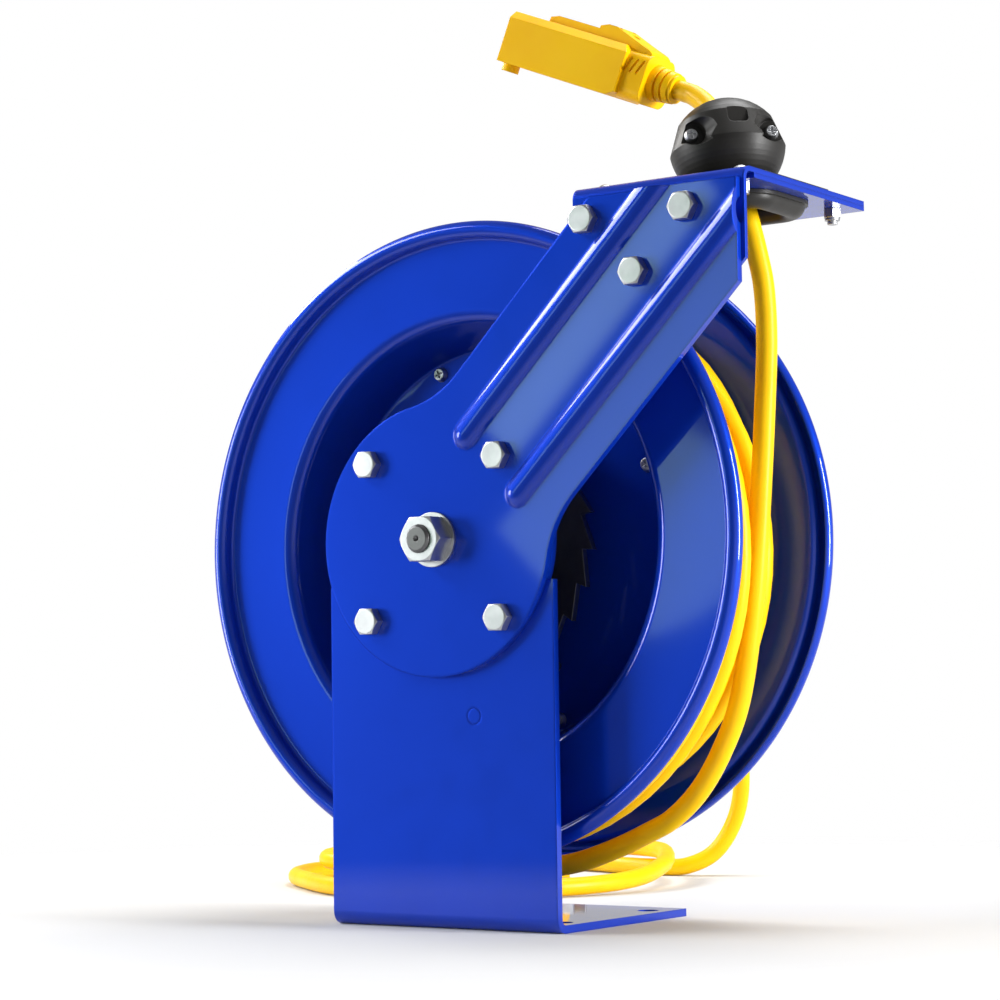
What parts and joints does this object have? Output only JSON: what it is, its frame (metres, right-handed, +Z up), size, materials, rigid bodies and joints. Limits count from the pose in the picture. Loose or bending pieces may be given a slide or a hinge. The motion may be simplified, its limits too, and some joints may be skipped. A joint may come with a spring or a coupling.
{
  "type": "extension cord reel",
  "caption": "Spring-driven extension cord reel: bent steel stand, spool on a fixed axle, sloping guide arm with a moulded cord guide, ball stop and outlet block.",
  "frame": {"origin": "centre of the four holes in the base plate, on the floor face", "axes": "+Z up, +Y from the stand's front face towards the collector, +X towards the guide arm's side"},
  "size_m": [0.4786, 0.4287, 0.476],
  "materials": {
    "blue_paint": "gloss",
    "zinc": "bright zinc",
    "dark_steel": "dark",
    "black_plastic": "satin",
    "bronze": "satin",
    "copper": "satin",
    "cord_jacket": "satin",
    "yellow_plastic": "satin"
  },
  "bodies": {
    "stand": {"pedestal": "blue_paint", "guide_arm": "blue_paint", "hub_bolts": "zinc", "hub_nuts": "zinc", "arm_bolts": "zinc", "arm_nuts": "zinc", "guide_bracket": "blue_paint", "backing_plate": "blue_paint", "guide_bolts": "zinc", "guide_locknuts": "zinc", "fairlead_mouth": "black_plastic", "fairlead_collar": "black_plastic", "axle": "dark_steel", "axle_washer": "zinc", "axle_nut": "zinc", "spacer_sleeve": "zinc", "spring_arbor": "dark_steel", "retaining_ring": "dark_steel", "pawl_stud": "blue_paint", "pawl_spring": "zinc", "pawl_clip": "dark_steel", "collector_housing": "black_plastic", "brush_holder": "black_plastic", "brushes": "copper", "collector_washer": "zinc", "collector_nut": "zinc", "cord_gland": "black_plastic", "cord_stretch": "cord_jacket", "ball_rear_half": "black_plastic", "ball_front_half": "black_plastic", "ball_screws": "zinc", "connector_body": "yellow_plastic", "connector_sleeve": "yellow_plastic", "lead_in_cord": "cord_jacket", "lead_in_plug": "yellow_plastic", "plug_blades": "zinc"},
    "pawl": {"pawl": "dark_steel"},
    "drum": {"drum_front_half": "blue_paint", "drum_rear_half": "blue_paint", "drum_screws": "zinc", "drum_nuts": "zinc", "drum_hub": "dark_steel", "drum_hub_bolts": "zinc", "drum_hub_nuts": "zinc", "front_bush": "bronze", "rear_bush": "bronze", "ratchet_wheel": "dark_steel", "ratchet_screws": "zinc", "spring_case": "dark_steel", "mainspring": "dark_steel", "slip_ring_hub": "black_plastic", "slip_rings": "copper", "collector_wires": "black_plastic", "cord_tail": "cord_jacket", "cord_clamp": "black_plastic", "clamp_screws": "zinc", "winding_core": "cord_jacket", "winding_layer": "cord_jacket"}
  },
  "joints": [
    {"name": "drum_spin", "type": "hinge", "parent": "stand", "child": "drum", "pos_m": [0, 0, 0.194], "axis": [0, -1, 0], "range_deg": [0, 6930], "stiffness_Nm_per_rad": 0.01, "springref_deg": -572.96},
    {"name": "pawl_pivot", "type": "hinge", "parent": "stand", "child": "pawl", "pos_m": [0.0208, 0, 0.1056], "axis": [0, -1, 0], "range_deg": [0, 15], "stiffness_Nm_per_rad": 0.02}
  ]
}
